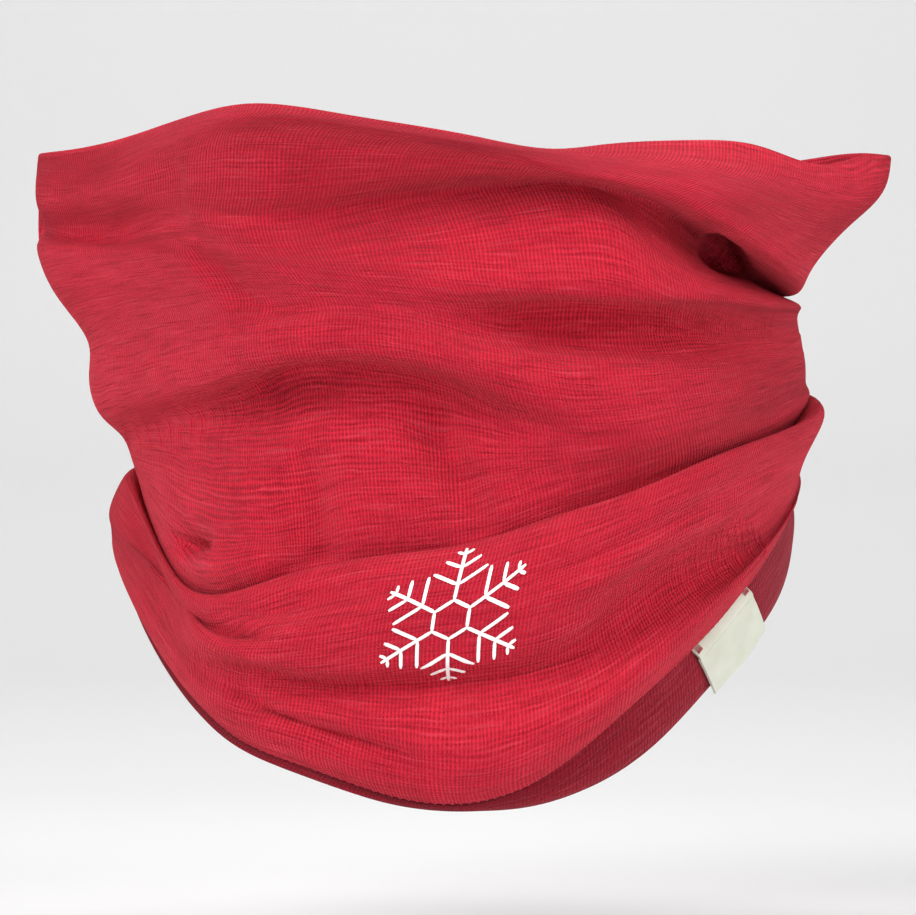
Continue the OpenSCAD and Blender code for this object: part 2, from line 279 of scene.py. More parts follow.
# ---------------------------------------------------------------- folds
# A stroke presses a fold into the cloth between two guides, given by their numbers. Its points are
# (across, up, depth, reach above, reach below), as the camera sees it. A negative depth lifts.
COWL_STROKES = [
    # between the two rolls on the left
    (1.5, 5.8, [(-93, 86, 0, 3, 4), (-92.5, 78, 2, 3, 5), (-92.3, 68, 3.5, 3, 5), (-89.5, 58, 5, 3, 5),
        (-84, 49, 6, 3.2, 5), (-76, 44.3, 6.5, 3.4, 5), (-66, 41, 6.5, 3.4, 5), (-59, 39.3, 4, 3.5, 5),
        (-52, 38, 0, 3, 4)]),
    # groove under the bright rim
    (3.5, 6, [(-72, 46, 0, 4, 4), (-62, 47, 3.5, 3.5, 4), (-45, 49.3, 3.5, 4, 5), (-28, 51.5, 2, 4, 5),
        (-14, 53.5, 0, 4, 5)]),
    # crease that the belly hangs over
    (1.6, 4.6, [(-78, 32, 0, 3, 5), (-64, 28.5, 4, 3, 5), (-45, 24, 5.5, 3, 6), (-21, 24.4, 6.5, 3, 6),
        (0.6, 25.8, 6.5, 3, 6), (21, 28.8, 6, 3.5, 6), (41, 36, 7, 6.5, 5.5), (55, 46, 7.5, 8.5, 6),
        (69, 55.5, 7, 8.5, 6), (79, 62, 4.5, 6.5, 5.5), (88, 69, 0, 5, 5)]),
    # thin crease across the lower left of the hem band
    (0.4, 3.4, [(-68, 26, 0, 2, 3), (-61, 21.3, 3.5, 2, 3.5), (-47, 14, 4.5, 2, 3.5),
        (-36, 10.3, 4.5, 2, 3.5), (-21, 6.3, 3.5, 2, 3.5), (-9, 0.5, 1.5, 2.5, 3.5), (-2, -3, 0, 3, 4)]),
    # slack ridges along the right of the belly
    (4, 6.2, [(10, 52, 0, 2, 3), (34, 60, 1.4, 2, 3), (58, 71, 1.6, 2, 3), (80, 82, 1.4, 2, 3),
        (95, 92, 0, 2, 3)]),
    (3.4, 5.4, [(20, 43, 0, 2, 3), (40, 49.5, 1.2, 2, 3), (60, 60, 1.4, 2, 3), (80, 71.5, 1.2, 2, 3),
        (94, 83, 0, 2, 3)]),
]
FACE_STROKES = [
    # left ear: level crease, and the step where the nose starts to lift the cloth
    (7.5, 12, [(-123, 157, 3, 6, 3), (-110, 156.5, 5.5, 7, 3), (-96, 155.5, 5.5, 7, 3),
        (-84, 154, 2, 6, 3)]),
    (8.5, 12.8, [(-86, 181, 0, 3, 9), (-84, 174, 2.6, 3.5, 10), (-83.5, 166, 3.2, 3.5, 10),
        (-82.5, 158, 2.5, 3.5, 9), (-80, 151, 0, 3.5, 7)]),
    # from the cheek to the corner of the mouth
    (5.5, 9.5, [(-80, 155, 1, 5, 4), (-74.5, 149.5, 3.5, 5, 3.5), (-69.5, 144.5, 4.5, 5, 3.5),
        (-64, 139, 4.5, 5, 3.5), (-56, 135.8, 4, 5, 4), (-44, 135.5, 2.5, 5, 5), (-30, 139, 0, 5, 5)]),
    # overhang of the chin
    (2.2, 4.9, [(-98, 98, 0, 4, 6), (-76, 103.5, 5.5, 4.5, 8), (-60, 107.5, 10, 5, 9),
        (-47, 110.5, 11, 5, 9), (-33, 112.5, 8, 4.5, 9), (-11, 111, 5.5, 4, 9), (12, 104, 3, 3, 8),
        (34, 98.5, 1.5, 3, 6), (56, 96, 0, 3, 5)]),
    # upright hollows in the throat, with a lit band between them
    (0.8, 3.9, [(-43, 96, 0, 7, 9), (-43, 85, 4.5, 6, 10), (-42, 72, 6, 6, 10), (-40, 60, 6, 6, 9)]),
    (0.8, 4.0, [(-9, 109, 0, 6, 8), (-7, 102, 5, 6, 8), (-4, 92, 7, 5, 7), (2, 82, 6, 5, 7),
        (6, 71, 2.5, 5, 7)]),
    # faint slanting crease left of the throat
    (1.5, 4, [(-92, 95, 0, 3, 4), (-76, 92, 1.8, 3, 4), (-60, 91, 1.8, 3, 4), (-46, 87, 0, 3, 4)]),
    # deep corner above the roll on the left, and the small pillow beside it
    (0.3, 3, [(-82.5, 69, 0, 2.5, 3), (-79.5, 66.5, 7, 2.8, 3), (-75, 65.5, 5, 3, 3), (-70, 66, 0, 3, 3)]),
    (0.3, 3, [(-78, 57, 0, 4, 4), (-70, 59.5, -4, 4, 5), (-61, 61, -4, 4.5, 5), (-54, 62, -2, 4, 5),
        (-47, 63, 0, 4, 4)]),
    # valley below the mouth
    (4.8, 7.6, [(-14, 130, 0, 6, 5), (4, 130, 4, 6, 5), (20, 129, 7.5, 6.5, 5), (38, 127.8, 8.5, 7, 5),
        (58, 126.8, 8.5, 7, 5), (74, 126.4, 6.5, 6.5, 5), (94, 127, 2.5, 6, 5)]),
    # darkest corner of the pocket
    (8.4, 10, [(72, 156, 0, 5, 3), (74, 151, 4.5, 7, 3), (77, 146, 3.5, 7, 3), (81, 142, 0, 6, 3)]),
]


STROKE_POINTS = 60
STROKE_FADE = 0.3  # a stroke's ends fade over this share of the way between two guides
FRONT_ONLY = 0.1  # strokes leave cloth alone that faces further back than this


def press(grid, rows, strokes):
    """The grid with the strokes pressed in one after the other."""
    for first, last, points in strokes:
        p = np.array(points, float)
        d = np.concatenate(
            [[0], np.cumsum(np.linalg.norm(np.diff(p[:, :2], axis=0), axis=1))]
        )
        line = spline(d, p, np.linspace(0, d[-1], STROKE_POINTS))
        n = normals_of(grid)
        x, z = apparent(grid)
        near = (rows[:, None] >= first) & (rows[:, None] <= last) & (n[..., 1] < FRONT_ONLY)
        i, j = np.nonzero(near)
        q = np.stack([x[i, j], z[i, j]], axis=1)
        gap = q[:, None] - line[None, :, :2]
        k = (gap**2).sum(axis=2).argmin(axis=1)
        along = np.gradient(line[:, :2], axis=0)[k]
        off = gap[np.arange(len(k)), k]
        side = along[:, 0] * off[:, 1] - along[:, 1] * off[:, 0]
        dist = np.linalg.norm(off, axis=1)
        reach = np.where(side > 0, line[k, 3], line[k, 4])
        depth = line[k, 2] * np.exp(-((dist / np.maximum(reach, 0.3)) ** 2))
        fade = np.clip((rows[i] - first) / STROKE_FADE, 0, 1)
        fade = fade * np.clip((last - rows[i]) / STROKE_FADE, 0, 1)
        grid = grid.copy()
        grid[i, j] -= n[i, j] * (depth * fade)[:, None]
    return grid


COLS = len(turn)


class Cloth:
    """A grid of points with the real distances round the tube (u) and along it (v), in millimetres."""

    def __init__(self, grid, rows):
        self.co, self.rows, self.n = grid, rows, normals_of(grid)
        round_step = np.linalg.norm(np.roll(grid, -1, axis=1) - grid, axis=2).mean(axis=0)
        self.u = np.concatenate([[0], np.cumsum(round_step)])
        along = np.linalg.norm(np.diff(grid, axis=0), axis=2)
        self.v = np.concatenate([[0], np.cumsum(along[:, HALF_BACK:-HALF_BACK].mean(axis=1))])

    def at(self, u, v, out=0.0):
        """Points at distances u and v, lifted off the cloth by out."""
        u, v = np.atleast_1d(np.asarray(u, float)), np.atleast_1d(np.asarray(v, float))
        c = np.interp(u % self.u[-1], self.u, np.arange(COLS + 1))
        r = np.interp(v, self.v, np.arange(len(self.v)))
        i = np.clip(r.astype(int), 0, len(self.v) - 2)
        j = np.clip(c.astype(int), 0, COLS - 1)
        k = (j + 1) % COLS
        a, b = (r - i)[:, None], (c - j)[:, None]

        def mix(g):
            low = g[i, j] * (1 - b) + g[i, k] * b
            high = g[i + 1, j] * (1 - b) + g[i + 1, k] * b
            return low * (1 - a) + high * a

        n = mix(self.n)
        n /= np.linalg.norm(n, axis=1, keepdims=True)
        return mix(self.co) + n * np.reshape(out, (-1, 1)), n

    def nearest(self, x, z):
        """Row and column of the outer point that the camera sees nearest to across x, up z."""
        ax, az = apparent(self.co)
        d = (ax - x) ** 2 + (az - z) ** 2 + np.where(self.co[..., 1] < -20, 0, 1e6)
        return np.unravel_index(d.argmin(), d.shape)

    def flat_map(self, i, j):
        """A function for (u, v) of points a across and b up along the cloth from row i, column j."""
        across = np.linalg.norm(np.roll(self.co[i], -1, axis=0) - self.co[i], axis=1)
        up = np.linalg.norm(np.diff(self.co[:, j], axis=0), axis=1)
        across, up = np.concatenate([[0], np.cumsum(across)]), np.concatenate([[0], np.cumsum(up)])
        return lambda a, b: (np.interp(across[j] + a, across, self.u), np.interp(up[i] + b, up, self.v))

    def part(self, first, last):
        """The rows from first to last of this cloth."""
        c = Cloth.__new__(Cloth)
        c.co, c.n, c.rows = self.co[first:last], self.n[first:last], self.rows[first:last]
        c.u, c.v = self.u, self.v[first:last]
        return c


# Where folds come close the inner layer goes further in: (place, reach, by how much)
NARROW = (((96, -22, 138), 8, 3), ((90, -38, 70), 15, 3))
CLEAR = 1.1  # the least distance between the outer faces of the two layers
LOST = -2  # a point further than this on the wrong side is left alone


def behind_folds(plain, pressed, wide, rise):
    """The inner layer: LAYER_GAP behind the plain cloth, and behind the deepest fold nearby.

    wide is how many grid steps count as nearby, and rise scales how far up or down it gives way.
    The layers still cross where folds pinch.
    """
    n = normals_of(plain)
    deep = np.clip(((plain - pressed) * n).sum(axis=2), 0, None)
    for _ in range(wide):
        deep = np.maximum(deep, np.maximum(np.roll(deep, 1, axis=1), np.roll(deep, -1, axis=1)))
        deep[1:-1] = np.maximum(deep[1:-1], np.maximum(deep[2:], deep[:-2]))
    for _ in range(wide):
        deep = (np.roll(deep, 1, axis=1) + 2 * deep + np.roll(deep, -1, axis=1)) / 4
        deep[1:-1] = (deep[2:] + 2 * deep[1:-1] + deep[:-2]) / 4
    level = n * [1, 1, rise]
    level /= np.linalg.norm(level, axis=2, keepdims=True)
    inner = plain - n * LAYER_GAP - level * deep[..., None]
    out = plain * [1, 1, 0]
    out /= np.linalg.norm(out, axis=2, keepdims=True)
    for place, reach, far in NARROW:
        inner -= out * far * np.exp(-(((plain - place) / reach) ** 2).sum(axis=2, keepdims=True))
    quads, _ = wrapped(len(pressed))
    tree = BVHTree.FromPolygons(pressed.reshape(-1, 3).tolist(), quads.tolist())
    for i in range(2, len(inner) - 3):  # the few points that are still too near to the outer layer
        for j in range(COLS):
            where, face_n, _, gap = tree.find_nearest(Vector(inner[i, j]))
            room = gap if (Vector(inner[i, j]) - where).dot(face_n) < 0 else -gap
            if LOST < room < CLEAR:
                inner[i, j] -= np.array(face_n) * (CLEAR - room)
    return inner


def new_piece(name, co, faces, uv, material, smooth=True):
    mesh = bpy.data.meshes.new(name)
    mesh.from_pydata((np.asarray(co) * MM).tolist(), [], np.asarray(faces).tolist())
    layer = mesh.uv_layers.new(name="cloth")
    layer.data.foreach_set("uv", np.asarray(uv, np.float32).ravel())
    mesh.materials.append(material)
    mesh.polygons.foreach_set("use_smooth", [smooth] * len(mesh.polygons))
    mesh.update()
    mesh.set_sharp_from_angle(angle=math.radians(60))
    ob = bpy.data.objects.new(name, mesh)
    bpy.context.scene.collection.objects.link(ob)
    return ob


def wrapped(rows, first=0, closed=False):
    """Quads of a grid closed round the tube, and the (row, column) of their corners before wrapping."""
    last = rows if closed else rows - 1
    i, j = np.meshgrid(np.arange(last), np.arange(COLS), indexing="ij")
    i, j = i.ravel(), j.ravel()
    corner = np.stack([np.stack([i + di, j + dj]) for di, dj in ((0, 0), (0, 1), (1, 1), (1, 0))])
    quads = first + (corner[:, 0] % rows) * COLS + corner[:, 1] % COLS
    return quads.T, corner.transpose(2, 0, 1)


def tube_solid(name, cloth, thick, material):
    """One layer of cloth as a closed solid, with the grid as its outer face."""
    rows = len(cloth.co)
    outer, corner = wrapped(rows)
    inner, _ = wrapped(rows, rows * COLS)
    j = np.arange(COLS)
    k, top = (j + 1) % COLS, (rows - 1) * COLS
    under = rows * COLS
    foot = np.stack([j, under + j, under + k, k], axis=1)
    head = np.stack([top + j, top + k, under + top + k, under + top + j], axis=1)
    uv = np.stack([cloth.u[corner[..., 1]], cloth.v[corner[..., 0]]], axis=2)

    def edge(v, order):
        return np.stack([np.stack([cloth.u[j + o], np.full(COLS, v)], axis=1) for o in order], axis=1)

    return new_piece(
        name,
        np.concatenate([cloth.co.reshape(-1, 3), (cloth.co - cloth.n * thick).reshape(-1, 3)]),
        np.concatenate([outer, inner[:, ::-1], foot, head]),
        np.concatenate(
            [uv, uv[:, ::-1], edge(cloth.v[0], (0, 0, 1, 1)), edge(cloth.v[-1], (0, 1, 1, 0))]
        ),
        material,
    )


def loop_solid(name, profile, cloth, v0, material):
    """A closed bead round the tube: profile is the list of its rings, which close on themselves."""
    p = np.array(profile)
    faces, corner = wrapped(len(p), closed=True)
    bead = p[:, COLS // 2]
    around = np.concatenate([[0], np.cumsum(np.linalg.norm(np.diff(bead, axis=0), axis=1)), [0]])
    around[-1] = around[-2] + np.linalg.norm(bead[0] - bead[-1])
    uv = np.stack([cloth.u[corner[..., 1]], v0 + around[corner[..., 0]]], axis=2)
    return new_piece(name, p.reshape(-1, 3), faces, uv, material)


SIDES = 6  # of a thread's section


def sweep(paths, radius):
    """Round threads along paths. Gives points, quads and (along, around) for each corner."""
    co, faces, uv, base = [], [], [], 0
    for path in paths:
        p = np.asarray(path, float)
        t = np.gradient(p, axis=0)
        t /= np.maximum(np.linalg.norm(t, axis=1, keepdims=True), 1e-9)
        ref = np.where(np.abs(t[:, 2:3]) < 0.9, [[0.0, 0.0, 1.0]], [[1.0, 0.0, 0.0]])
        a = np.cross(t, ref)
        a /= np.linalg.norm(a, axis=1, keepdims=True)
        b = np.cross(t, a)
        taper = np.ones(len(p))
        taper[0] = taper[-1] = 0.45
        for s in range(SIDES):
            q = 2 * math.pi * s / SIDES
            co.append(p + (a * math.cos(q) + b * math.sin(q)) * (radius * taper)[:, None])
        m = len(p)
        length = np.concatenate([[0], np.cumsum(np.linalg.norm(np.diff(p, axis=0), axis=1))])
        for s in range(SIDES):
            here, there = base + s * m, base + (s + 1) % SIDES * m
            i = np.arange(m - 1)
            faces.append(np.stack([here + i, here + i + 1, there + i + 1, there + i], axis=1))
            w = 2 * math.pi * radius / SIDES
            uv.append(np.stack([np.stack([length[i + di], np.full(m - 1, w * (s + ds))], axis=1)
                                for di, ds in ((0, 0), (1, 0), (1, 1), (0, 1))], axis=1))
        first = [base + s * m for s in range(SIDES)]
        for e in (first, [point + m - 1 for point in first][::-1]):
            for s in range(1, SIDES - 1, 2):
                faces.append(np.array([[e[0], e[s], e[s + 1], e[s + 2]]]))
                uv.append(np.zeros((1, 4, 2)))
        base += m * SIDES
    return np.concatenate(co), np.concatenate(faces), np.concatenate(uv)


# ---------------------------------------------------------------- materials
class Finish:
    """A node material, built up from the shader's own sockets."""

    def __init__(self, name, roughness, specular=0.25, sheen=0.0, sheen_rough=0.4, sheen_tint=(1, 1, 1)):
        self.material = bpy.data.materials.new(name)
        self.material.use_nodes = True
        self.tree = self.material.node_tree
        self.shader = self.tree.nodes["Principled BSDF"]
        put = self.shader.inputs
        put["Roughness"].default_value = roughness
        put["Specular IOR Level"].default_value = specular
        put["Sheen Weight"].default_value = sheen
        put["Sheen Roughness"].default_value = sheen_rough
        put["Sheen Tint"].default_value = (*sheen_tint, 1)

    def node(self, kind, *links, **settings):
        made = self.tree.nodes.new(kind)
        for key, value in settings.items():
            setattr(made, key, value)
        for i, link in enumerate(links):
            if isinstance(link, (int, float, tuple)):
                made.inputs[i].default_value = link
            elif link is not None:
                self.tree.links.new(link, made.inputs[i])
        return made

    def math(self, operation, *links):
        return self.node("ShaderNodeMath", *links, operation=operation).outputs[0]

    def uv(self):
        where = self.node("ShaderNodeUVMap", uv_map="cloth").outputs[0]
        return self.node("ShaderNodeSeparateXYZ", where).outputs

    def noise(self, x, y, sx, sy, detail=2.0, rough=0.5):
        """Noise over the cloth, with features about 1/sx by 1/sy millimetres, as a value round 0.5."""
        across, along = self.math("MULTIPLY", x, sx), self.math("MULTIPLY", y, sy)
        at = self.node("ShaderNodeCombineXYZ", across, along, 0.0)
        made = self.node("ShaderNodeTexNoise", at.outputs[0])
        made.inputs["Scale"].default_value = 1.0
        made.inputs["Detail"].default_value = detail
        made.inputs["Roughness"].default_value = rough
        return made.outputs[0]

    def ramp(self, value, low, high, a=0.0, b=1.0):
        made = self.node("ShaderNodeMapRange", value, low, high, a, b)
        return made.outputs[0]

    def mix(self, share, a, b):
        made = self.node("ShaderNodeMix", data_type="RGBA")
        for socket, value in ((made.inputs[0], share), (made.inputs[6], a), (made.inputs[7], b)):
            if isinstance(value, tuple):
                socket.default_value = (*value, 1)
            elif isinstance(value, (int, float)):
                socket.default_value = value
            else:
                self.tree.links.new(value, socket)
        return made.outputs[2]

    def done(self, colour, height=None, distance=0.0003, roughness=None):
        self.tree.links.new(colour, self.shader.inputs["Base Color"])
        if roughness is not None:
            self.tree.links.new(roughness, self.shader.inputs["Roughness"])
        if height is not None:
            bump = self.node("ShaderNodeBump")
            bump.inputs["Strength"].default_value = 1.0
            bump.inputs["Distance"].default_value = distance
            self.tree.links.new(height, bump.inputs["Height"])
            self.tree.links.new(bump.outputs[0], self.shader.inputs["Normal"])
        return self.material


def jersey(name, base, deep, pale, depth=0.00022, brushed=0.0, sheen=0.12):
    """Fine plain knit: wales of small V stitches with painted shade in the grooves between them, uneven
    slubs along the courses, and a little fuzz.
    """
    f = Finish(name, 0.92, 0.08, sheen, 0.4, (1.0, 0.45, 0.5))
    u, v, _ = f.uv()
    drift = f.math("MULTIPLY", f.math("SUBTRACT", f.noise(u, v, 0.09, 0.05, 3), 0.5), 2.6)
    sway = f.math("MULTIPLY", f.math("SUBTRACT", f.noise(u, v, 0.03, 0.12, 3), 0.5), 3.0)
    wale = f.math("DIVIDE", f.math("ADD", u, drift), WALE)
    side = f.math("ABSOLUTE", f.math("SUBTRACT", f.math("FRACT", wale), 0.5))
    rib = f.math("COSINE", f.math("MULTIPLY", wale, 2 * math.pi))
    along = f.math("ADD", v, sway)
    course = f.math("DIVIDE", along, COURSE)
    loop = f.math("COSINE", f.math("MULTIPLY", f.math("ADD", course, side), 2 * math.pi))
    slub = f.noise(u, along, 0.06, 1.7, 3, 0.6)
    swell = f.noise(u, along, 0.022, 0.42, 3, 0.55)
    thin = f.ramp(slub, 0.54, 0.68)
    thick = f.ramp(slub, 0.46, 0.33)
    ridge = f.ramp(swell, 0.36, 0.64)
    fuzz = f.noise(u, v, 1.1, 1.1, 4, 0.7)
    patch = f.noise(u, v, 0.03, 0.035, 3)
    plain = 1 - brushed
    height = f.math("ADD", f.math("MULTIPLY", rib, -0.8 * plain), f.math("MULTIPLY", loop, 0.35 * plain))
    height = f.math("ADD", height, f.math("MULTIPLY", thin, -0.9 * (1 - 0.6 * brushed)))
    height = f.math("ADD", height, f.math("MULTIPLY", thick, 0.6))
    height = f.math("ADD", height, f.math("MULTIPLY", ridge, 0.7))
    height = f.math("ADD", height, f.math("MULTIPLY", fuzz, 0.6 + 1.8 * brushed))
    # painted shade: the colour darkens towards deep in the grooves between the wales and loops, where the
    # bump is low
    relief = f.math("ADD", f.math("MULTIPLY", rib, 0.75), f.math("MULTIPLY", loop, -0.25))
    painted_groove_shade = f.ramp(relief, -0.2, 1.0)
    colour = f.mix(f.math("MULTIPLY", painted_groove_shade, 0.85 * (1 - 0.8 * brushed)), base, deep)
    colour = f.mix(f.math("MULTIPLY", thin, 0.55 * (1 - 0.5 * brushed)), colour, deep)
    colour = f.mix(f.math("MULTIPLY", thick, 0.3), colour, pale)
    colour = f.mix(f.ramp(swell, 0.56, 0.42, 0.0, 0.14), colour, deep)
    colour = f.mix(f.ramp(fuzz, 0.5, 0.75, 0.0, 0.25 + 0.2 * brushed), colour, pale)
    colour = f.mix(f.ramp(patch, 0.35, 0.65, 0.0, 0.16), colour, deep)
    return f.done(colour, height, depth)


def thread_finish(name, base, deep):
    f = Finish(name, 0.7, 0.3, 0.2, 0.4, (1, 0.7, 0.7))
    u, v, _ = f.uv()
    twist = f.math("ADD", f.math("MULTIPLY", u, 1.6), f.math("MULTIPLY", v, 0.9))
    ply = f.math("SINE", f.math("MULTIPLY", twist, 2 * math.pi))
    # painted shade: the thread darkens towards deep in the grooves between its plies, where the bump is low
    colour = f.mix(f.ramp(ply, -1, 0.6, 0.7, 0.0), base, deep)
    return f.done(colour, ply, 0.00008)


def label_finish(name):
    """Satin-woven tape: close warp floats with a faint weft, and a slightly yellowed tint."""
    f = Finish(name, 0.42, 0.4, 0.1, 0.4, (1, 1, 1))
    u, v, _ = f.uv()
    warp = f.math("COSINE", f.math("MULTIPLY", v, 2 * math.pi / 0.32))
    slanted = f.math("ADD", u, f.math("MULTIPLY", v, 1.4))
    weft = f.math("COSINE", f.math("MULTIPLY", slanted, 2 * math.pi / 0.55))
    stain = f.noise(u, v, 0.12, 0.2, 3)
    fleck = f.noise(u, v, 2.2, 0.7, 2)
    height = f.math("ADD", f.math("MULTIPLY", warp, 0.5), f.math("MULTIPLY", weft, 0.35))
    colour = f.mix(f.ramp(stain, 0.35, 0.7), (0.66, 0.68, 0.575), (0.58, 0.60, 0.49))
    colour = f.mix(f.ramp(f.math("MULTIPLY", warp, weft), -1, 1, 0.0, 0.25), colour, (0.46, 0.48, 0.40))
    colour = f.mix(f.ramp(fleck, 0.6, 0.8, 0.0, 0.3), colour, (0.72, 0.73, 0.66))
    return f.done(colour, height, 0.00006, f.ramp(stain, 0.3, 0.7, 0.38, 0.5))


def film_finish(name):
    """Printed film that takes up a little of the knit below it."""
    f = Finish(name, 0.5, 0.35)
    u, v, _ = f.uv()
    rib = f.math("COSINE", f.math("MULTIPLY", u, 2 * math.pi / WALE))
    wear = f.noise(u, v, 1.4, 1.4, 3)
    colour = f.mix(f.ramp(wear, 0.55, 0.8, 0.0, 0.45), (0.86, 0.86, 0.85), (0.74, 0.62, 0.62))
    return f.done(colour, f.math("ADD", f.math("MULTIPLY", rib, 0.4), wear), 0.00008)


shell_knit = jersey("shell knit", (0.66, 0.022, 0.048), (0.30, 0.005, 0.016), (0.80, 0.085, 0.125))
lining_knit = jersey("lining knit", (0.27, 0.01, 0.022), (0.10, 0.003, 0.009), (0.44, 0.042, 0.064),
                     0.00035, 0.75, 0.2)
seam_knit = jersey("seam knit", (0.42, 0.014, 0.03), (0.18, 0.004, 0.012), (0.55, 0.05, 0.08),
                   0.0003, 0.3, 0.2)
red_thread = thread_finish("red thread", (0.50, 0.03, 0.055), (0.24, 0.01, 0.02))
label_weave = label_finish("label weave")
print_film = film_finish("print film")

# ---------------------------------------------------------------- the cloth
plain_cowl, cowl_rows = loft(COWL, ROW_PITCH)
cowl = Cloth(press(plain_cowl, cowl_rows, COWL_STROKES), cowl_rows)
plain_face, face_rows = loft(FACE, ROW_PITCH)
face = Cloth(press(plain_face, face_rows, FACE_STROKES), face_rows)
face_below_edge = face.part(0, -2)

shell_cowl = tube_solid("shell_cowl_cloth", cowl, CLOTH, shell_knit)
shell_face = tube_solid("shell_face_cloth", face_below_edge, CLOTH, shell_knit)

# ---- the turned top edge: the outer layer goes over it and becomes the lining
FOLD = LAYER_GAP + INNER_CLOTH
tip, lean = face.co[-1], face.n[-1]
climb = face.co[-1] - face.co[-3]
climb /= np.linalg.norm(climb, axis=1, keepdims=True)
profile = [face.co[-3], face.co[-2], face.co[-1]]
for q in np.radians([22.5, 45, 67.5, 90, 112.5, 135, 157.5]):
    profile.append(tip - lean * FOLD / 2 * (1 - math.cos(q)) + climb * FOLD / 2 * math.sin(q))
profile += [face.co[i] - face.n[i] * FOLD for i in (-1, -2, -3)]
top_fold = loop_solid("top_fold_edge", profile, face, face.v[-3], shell_knit)

# ---- the inner layer
inside = behind_folds(plain_face, face.co, 2, 1)
lining = Cloth(inside[:-2], face.rows[:-2])
lining_face = tube_solid("lining_face_cloth", lining, INNER_CLOTH, lining_knit)

edge_outline = ring([(-96.5, 62, 8), (-87.5, 35, -40), (-67, 10, -72), (-44, -0.9, -86), (-18, -8.9, -91.5),
                     (5, -10.8, -92), (22, -9.3, -91), (38, -4, -87.5), (55, 6.8, -80), (72, 24.5, -68),
                     (88, 43.3, -48), (95.6, 61, -22), (96.4, 76, -4)], (64, 76))
seam_ring = cowl.co[0]
inward = np.stack([-seam_ring[:, 0], -seam_ring[:, 1], np.zeros(COLS)], axis=1)
inward /= np.linalg.norm(inward, axis=1, keepdims=True)
facing = [
    seam_ring + inward * 1.6,
    (seam_ring + edge_outline) / 2 + inward * 0.2 - [0, 0, 0.6],
    edge_outline,
    edge_outline + inward * 2.2 + [0, 0, 0.6],
    (seam_ring + edge_outline) / 2 + inward * 4.6,
    seam_ring + inward * 7 + [0, 0, 1.0],
]
behind = behind_folds(plain_cowl, cowl.co, 5, 0.15)
# inside the roll the inner layer lies slack, and goes straight over from the belly to the tuck
SLACK_FROM = 4.7  # the guide of COWL where it leaves the outer layer
SLACK_CROWN = np.array([0, 0, 10])  # it crowns by a quarter of this at the middle
across = np.clip((cowl.rows - SLACK_FROM) / (cowl.rows[-1] - SLACK_FROM), 0, 1)[:, None, None]
start = int(np.abs(cowl.rows - SLACK_FROM).argmin())
bridge = behind[start] * (1 - across) + behind[-1] * across + SLACK_CROWN * across * (1 - across)
behind = np.where(across > 0, bridge, behind)
FACING_TO = 2.4  # the guide of COWL where the turned-under strip ends
joins = int(np.abs(cowl.rows - FACING_TO).argmin())
strip, strip_rows = loft(facing + [behind[joins], behind[joins + 3]], EDGE_PITCH)
last = int(np.abs(strip_rows - len(facing)).argmin())
grid = np.concatenate([strip[: last + 1], behind[joins + 1 :]])
neck_lining = Cloth(grid, np.arange(len(grid)))
lining_neck = tube_solid("lining_neck_cloth", neck_lining, INNER_CLOTH, lining_knit)

# ---- bottom seam: a rolled bead under the shell's edge, with its stitches
hang = cowl.co[0] - cowl.co[1]
hang /= np.linalg.norm(hang, axis=1, keepdims=True)


BEAD_IN = 1.05  # the middle of the roll, behind the shell's outer face
BEAD_UP = 0.15
STITCH_POINTS = 9
STITCH_PITCH = 2.4
STITCH_SLANT = 1.5


def round_bead(q, radius):
    """Points on the seam's roll at angle q, which starts in front and goes down and behind."""
    middle = seam_ring - cowl.n[0] * BEAD_IN
    return middle + cowl.n[0] * radius * math.cos(q) + hang * (radius * math.sin(q) - BEAD_UP)


bead_rings = [round_bead(q, 0.9) for q in np.radians(np.arange(360, 0, -36))]
bottom_seam = loop_solid("bottom_seam_roll", bead_rings, cowl, 0, seam_knit)
coil = np.array([round_bead(q, 1.0) for q in np.radians(np.linspace(-40, 170, STITCH_POINTS))])
stitches = []
for u in np.arange(0.8, cowl.u[-1] - 1, STITCH_PITCH):
    c = np.interp(u + np.linspace(0, STITCH_SLANT, STITCH_POINTS), cowl.u, np.arange(COLS + 1))
    j = c.astype(int)
    share = (c - j)[:, None]
    k = np.arange(STITCH_POINTS)
    stitches.append(coil[k, j % COLS] * (1 - share) + coil[k, (j + 1) % COLS] * share)
co, faces, uv = sweep(stitches, 0.2)
bottom_thread = new_piece("bottom_seam_stitches", co, faces, uv, red_thread)


SEAM_STITCH = 2.6  # length of one stitch of the flat seams
SEAM_HALF = 2.3  # from the middle of a flat seam to its covering rows
SEAM_OUT = 0.12  # how far its threads lie off the cloth


def flat_seam(name, cloth, first, last, side, out):
    """Zigzag flat seam with two covering rows down the back."""
    v = np.arange(first, last, SEAM_STITCH / 4)
    mid = cloth.u[-1]
    zig = side * 2.1 * (2 * np.abs((v / SEAM_STITCH) % 1 - 0.5) * 2 - 1)
    paths = [cloth.at(mid + zig, v, out)[0]]
    arch = out + 0.15 * np.sin(np.linspace(0, math.pi, 5))
    for edge in (-SEAM_HALF, SEAM_HALF):
        for k in range(int((last - first) / SEAM_STITCH)):
            w = first + SEAM_STITCH * k + np.linspace(0.2, 2.3, 5)
            paths.append(cloth.at(np.full(5, mid + edge), w, arch)[0])
    co, faces, uv = sweep(paths, 0.26)
    return new_piece(name, co, faces, uv, red_thread)


seam_lower = flat_seam("shell_seam_lower_stitches", cowl, 3, cowl.v[-1] - 1, 1, SEAM_OUT)
seam_upper = flat_seam("shell_seam_upper_stitches", face, 1, face.v[-3] - 0.5, 1, SEAM_OUT)
under = INNER_CLOTH + SEAM_OUT
neck_v = neck_lining.v[-1]
lining_lower = flat_seam("lining_seam_lower_stitches", neck_lining, neck_v * 0.35, neck_v - 2, -1, -under)
lining_upper = flat_seam("lining_seam_upper_stitches", lining, 1, lining.v[-1] - 1, -1, -under)

